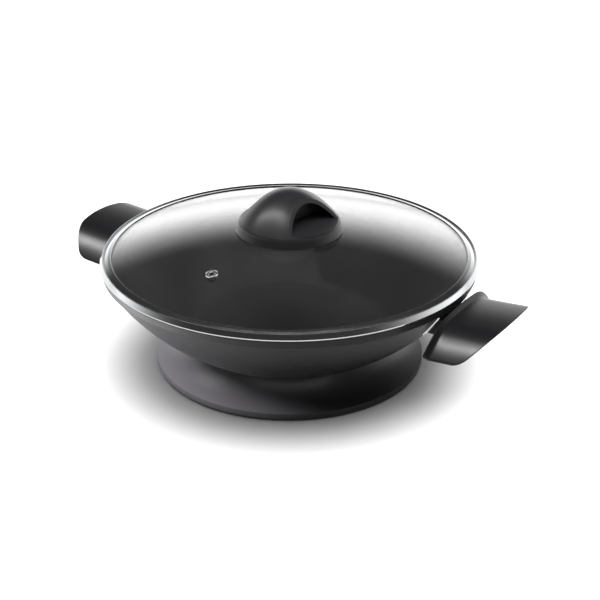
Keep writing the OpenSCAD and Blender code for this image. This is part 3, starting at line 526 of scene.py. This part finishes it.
# plain takes the colour, roughness, metallic, and the grain in mm and its strength
guard_steel = plain("pressed_stainless_sheet", "CFCFD0", 0.25, 1.0)  # cold rolled: even gloss
zinc_steel = plain("zinc_plated_steel", "A9ABAD", 0.35, 1.0)  # barrel plated: dull grey
tube_steel = plain("oxidised_element_tube", "5A5854", 0.5, 1.0)  # heat-browned
drawn_aluminium = plain("drawn_aluminium_tube", "C9CACC", 0.35, 1.0)  # pale, silky
steatite = plain("steatite_ceramic", "DAD5C8", 0.6, 0.0)  # pressed and fired: cream, matt
brass = plain("bright_brass", "C9A65A", 0.3, 1.0)  # turned: warm and bright
nickel = plain("nickel_plated_pin", "B8B2A2", 0.22, 1.0)  # plated: smooth, warm grey
silicone = plain("grey_silicone", "3A3A3B", 0.55)  # moulded: soft dark grey
pad_rubber = plain("black_rubber", "161616", 0.75)  # moulded: black, dull
plate_metal = plain("die_cast_aluminium", "B9BABC", 0.45, 1.0, 0.6, 0.2)  # rough as cast
glass = tempered_glass("tempered_soda_lime_glass")

FINISH = {
    "wok_bowl": nonstick,
    "heat_plate": plate_metal,
    "heating_element": tube_steel,
    "probe_sleeve": drawn_aluminium,
    "base_spacers": steatite,
    "heat_shield": zinc_steel,
    "base_skirt": foot_plastic,
    "base_screws": zinc_steel,
    "bottom_cover": black_pbt,
    "cover_screws": zinc_steel,
    "rubber_feet": pad_rubber,
    "inlet_shroud": black_pbt,
    "terminal_pins": nickel,
    "pin_insulators": steatite,
    "earth_contacts": brass,
    "inlet_screws": zinc_steel,
    "handle_right": shade_darkened_handle_phenolic,
    "handle_left": shade_darkened_handle_phenolic,
    "guard_right": guard_steel,
    "guard_left": guard_steel,
    "handle_washers": zinc_steel,
    "handle_screws": zinc_steel,
    "lid_glass": glass,
    "lid_rim_band": stainless,
    "lid_seal": seal_black,
    "vent_grommet": eyelet_steel,
    "knob_dome": phenolic,
    "knob_collar": phenolic,
    "knob_insert": brass,
    "knob_gasket": silicone,
    "lower_gasket": silicone,
    "knob_washer": zinc_steel,
    "knob_screw": zinc_steel,
}
for name, finish in FINISH.items():
    cad[name].data.materials.clear()
    cad[name].data.materials.append(finish)


# ---- Pieces that replace CAD nodes -------------------------------------------------------

for name, edge in (  # edge: the round on its edges, in mm
    ("wok_bowl", 0.0),
    ("base_skirt", 0.0),
    ("knob_dome", 0.5),
    ("inlet_shroud", 0.4),
):
    piece = stands_for(refined(name, FINISH[name], edge), name)
    if name == "base_skirt":
        square_rim(piece)

for name, side in (("handle_right", 1), ("handle_left", -1)):
    piece = stands_for(handle(name, FINISH[name], side), name)
    # the floor stays white below the handles, as a wide lamp overhead leaves it
    piece.visible_shadow = False
    piece.visible_diffuse = False

# Lid band: a narrow grip over the glass's edge, a shallow groove, and a bead whose outer face
# leans, so that it shows the dark room in front and the white panel at the sides
band_profile = rounded(
    [
        (GLASS_R + GLASS_GAP, glass_z(GLASS_R) + GLASS_GAP, 0.1),
        (GRIP_IN, glass_z(GRIP_IN) + GLASS_GAP, 0.1),
        (GRIP_IN - 0.2, glass_z(GRIP_IN) + 0.45, 0.15),
        (GRIP_IN + 0.1, glass_z(GRIP_IN) + 0.8, 0.25),
        (GLASS_R + 1.2, glass_z(GLASS_R) + 0.75, 0.4),
        (BAND_R - 3.6, GROOVE, 0.2),
        (BAND_R - 3.2, BEAD_TOP, 0.4),
        (BAND_R - 2.4, BEAD_TOP, 0.5),
        (BAND_R, BAND_BOTTOM + 1.7, 0.6),
        (BAND_R, SEAL_TOP, 0.1),
        (BAND_R - 4.1, SEAL_TOP, 0.05),
        (BAND_R - 4.1, GROOVE - 0.9, 0.05),
        (GLASS_R + 1.1, GROOVE - 0.9, 0.1),
        (GLASS_R + 1.1, BAND_BOTTOM, 0.1),
        (GLASS_R - 0.1, BAND_BOTTOM, 0.1),
        (GLASS_R - 0.1, SKIRT_BOTTOM, 0.2),
        (GLASS_R - 1.1, SKIRT_BOTTOM, 0.2),
        (GLASS_R - 1.1, glass_under_z(GLASS_R - 1.1) - GLASS_GAP - GRIP_T, 0.2),
        (GRIP_IN, glass_under_z(GRIP_IN) - GLASS_GAP - GRIP_T, 0.2),
        (GRIP_IN, glass_under_z(GRIP_IN) - GLASS_GAP, 0.1),
        (GLASS_R + GLASS_GAP, glass_under_z(GLASS_R) - GLASS_GAP, 0.1),
    ]
)
# Black ring between the bead and the rim, stepped as the band is
seal_profile = rounded(
    [
        (GLASS_R + 1.22, GROOVE - 1.0, 0.2),
        (GLASS_R + 1.22, BAND_BOTTOM, 0.3),
        (BAND_R - 0.3, BAND_BOTTOM, 0.3),
        (BAND_R - 0.3, SEAL_TOP - 0.05, 0.1),
        (BAND_R - 3.95, SEAL_TOP - 0.05, 0.1),
        (BAND_R - 3.95, GROOVE - 1.0, 0.1),
    ]
)
for name, node, profile in (
    ("lid_band_finish", "lid_rim_band", band_profile),
    ("lid_seal_finish", "lid_seal", seal_profile),
):
    mesh = raw_mesh(name, *revolve(profile))
    mesh.validate()
    stands_for(new_object(name, mesh, FINISH[node]), node)


# ---- Studio ------------------------------------------------------------------------------

AZIMUTH = math.radians(32.8)
ELEVATION = math.radians(25.8)
DISTANCE = 1269.0
FOCAL_PX = 1330.0
FRAME_PX = 600
SENSOR = 36.0
AIM_RIGHT = 9.8  # the point in the picture's middle: right of the axis, and its height
AIM_Z = 58.6

to_right = Vector((math.cos(AZIMUTH), math.sin(AZIMUTH), 0.0))
to_front = Vector((math.sin(AZIMUTH), -math.cos(AZIMUTH), 0.0))
up = Vector((0.0, 0.0, 1.0))
back = to_front * math.cos(ELEVATION) + up * math.sin(ELEVATION)

camera_data = bpy.data.cameras.new("camera")
camera_data.sensor_width = SENSOR
camera_data.lens = FOCAL_PX / FRAME_PX * SENSOR
camera_data.clip_start = 0.05
camera_data.clip_end = 50.0
camera = bpy.data.objects.new("camera", camera_data)
camera.location = (to_right * AIM_RIGHT + up * AIM_Z + back * DISTANCE) * MM
camera.rotation_euler = (-back).to_track_quat("-Z", "Y").to_euler()
bpy.context.scene.collection.objects.link(camera)
bpy.context.scene.camera = camera


def softbox(name, place, aim, size, watts, pieces, unseen_by):
    """A flat rectangular lamp that points at aim and lights the named pieces alone."""
    lamp = bpy.data.lights.new(name, "AREA")
    lamp.shape = "RECTANGLE"
    lamp.size, lamp.size_y = size
    lamp.energy = watts
    obj = bpy.data.objects.new(name, lamp)
    obj.location = place
    obj.rotation_euler = (aim - place).to_track_quat("-Z", "Y").to_euler()
    bpy.context.scene.collection.objects.link(obj)
    for rays in unseen_by:
        setattr(obj, "visible_" + rays, False)
    group = bpy.data.collections.new(name + "_receivers")
    for piece in pieces:
        group.objects.link(bpy.data.objects[piece + "_finish"])
    obj.light_linking.receiver_collection = group
    return obj


# Each lamp lights one kind of piece: a strip high on the left draws the soft band on the
# handles and the knob; others stand low on the left for the bowl's wall, high on the left for
# the foot and in front for the gloss of its neck, which only the foot itself may shade
strip_place = Vector((-0.85, -0.47, 1.45))
under_strip = Vector((-0.85, -0.47, 0.0))
on_axis = Vector((0.0, 0.0, 0.0))
low_left = to_right * -1.2 + to_front * 0.1 + up * 0.06
high_left = to_right * -0.88 + to_front * 0.25 + up * 0.95
high_front = to_front * 1.1 + up * 0.95
handles = ("handle_right", "handle_left")
softbox("strip_softbox", strip_place, under_strip, (1.9, 0.12), 95.0, handles, ["diffuse"])
softbox("knob_softbox", strip_place, under_strip, (1.9, 0.16), 30.0, ["knob_dome"], ["diffuse"])
softbox("wall_softbox", low_left, up * 0.06, (0.6, 0.1), 110.0, ["wok_bowl"], [])
softbox("foot_softbox", high_left, on_axis, (0.5, 0.5), 170.0, ["base_skirt"], ["glossy"])
neck_lamp = softbox(
    "neck_softbox", high_front, up * 0.02, (1.8, 0.25), 9.0, ["base_skirt"], ["diffuse"]
)
neck_linking = neck_lamp.light_linking
neck_linking.blocker_collection = neck_linking.receiver_collection

# floor: matt paint, with a faint unevenness in its dullness
FLOOR_HALF = 12.0
FLOOR_PATCHES = 60.0  # patches of one dullness per metre
floor_paint, tree, place = material("matt_white_floor")
patches = {"Vector": place, "Scale": FLOOR_PATCHES, "Detail": 2.0}
patches = add(tree, "TexNoise", patches).outputs["Fac"]
dullness = {"Value": patches, "To Min": 0.85, "To Max": 0.95}
dullness = add(tree, "MapRange", dullness).outputs["Result"]
looks = {"Base Color": linear("EDEDEE"), "Roughness": dullness, "Specular IOR Level": 0.0}
finished(floor_paint, add(tree, "BsdfPrincipled", looks))
floor_mesh = bpy.data.meshes.new("floor")
floor_corners = FLOOR_HALF * np.array([(-1, -1, 0), (1, -1, 0), (1, 1, 0), (-1, 1, 0)])
floor_mesh.from_pydata(floor_corners.tolist(), [], [(0, 1, 2, 3)])
floor_mesh.materials.append(floor_paint)
floor = bpy.data.objects.new("floor", floor_mesh)
bpy.context.scene.collection.objects.link(floor)

# world: soft light from above for the shading, and for what gloss shows a white panel that
# stands low behind the wok and its sides, in a dark room
ROOM_DARK = 0.06
PANEL_LEAN = 0.10  # the panel's top edge is higher on the left
world = bpy.data.worlds.new("studio")
bpy.context.scene.world = world
world.use_nodes = True
tree = world.node_tree
tree.nodes.clear()
ray = add(tree, "TexCoord").outputs["Generated"]
steps = []
for along, start, end, first, last in (  # smooth steps of how far a ray points along a vector
    (up, 0.80, 1.0, 0.25, 9.5),  # the sky's cap
    (up - to_right * PANEL_LEAN, 0.16, 0.50, 2.3, 0.0),  # the panel's top edge
    (up, 0.0, 0.13, 0.62, 1.0),  # its foot, a little dimmer
    (-to_front, -0.75, 0.6, 0.03, 1.0),  # its fading towards the front
):
    inputs = {0: ray, 1: tuple(along)}
    value = add(tree, "VectorMath", inputs, operation="DOT_PRODUCT").outputs["Value"]
    inputs = {0: value, 1: start, 2: end, 3: first, 4: last}
    step = add(tree, "MapRange", inputs, interpolation_type="SMOOTHSTEP")
    steps.append(step.outputs["Result"])
sky, panel, panel_foot, panel_front = steps
for operation, factor in (
    ("MULTIPLY", panel_foot),
    ("MULTIPLY", panel_front),
    ("ADD", ROOM_DARK),
):
    panel = add(tree, "Math", {0: panel, 1: factor}, operation=operation).outputs[0]
white = (1, 1, 1, 1)
soft, shown, plain_white = (
    add(tree, "Background", {"Color": white, "Strength": strength}).outputs[0]
    for strength in (sky, panel, 1.0)
)
rays = add(tree, "LightPath").outputs
lit = add(tree, "MixShader", {0: rays["Is Glossy Ray"], 1: soft, 2: shown}).outputs[0]
seen = add(tree, "MixShader", {0: rays["Is Camera Ray"], 1: lit, 2: plain_white}).outputs[0]
add(tree, "OutputWorld", {"Surface": seen})

bpy.context.scene.view_settings.view_transform = "Standard"
bpy.context.scene.view_settings.look = "None"
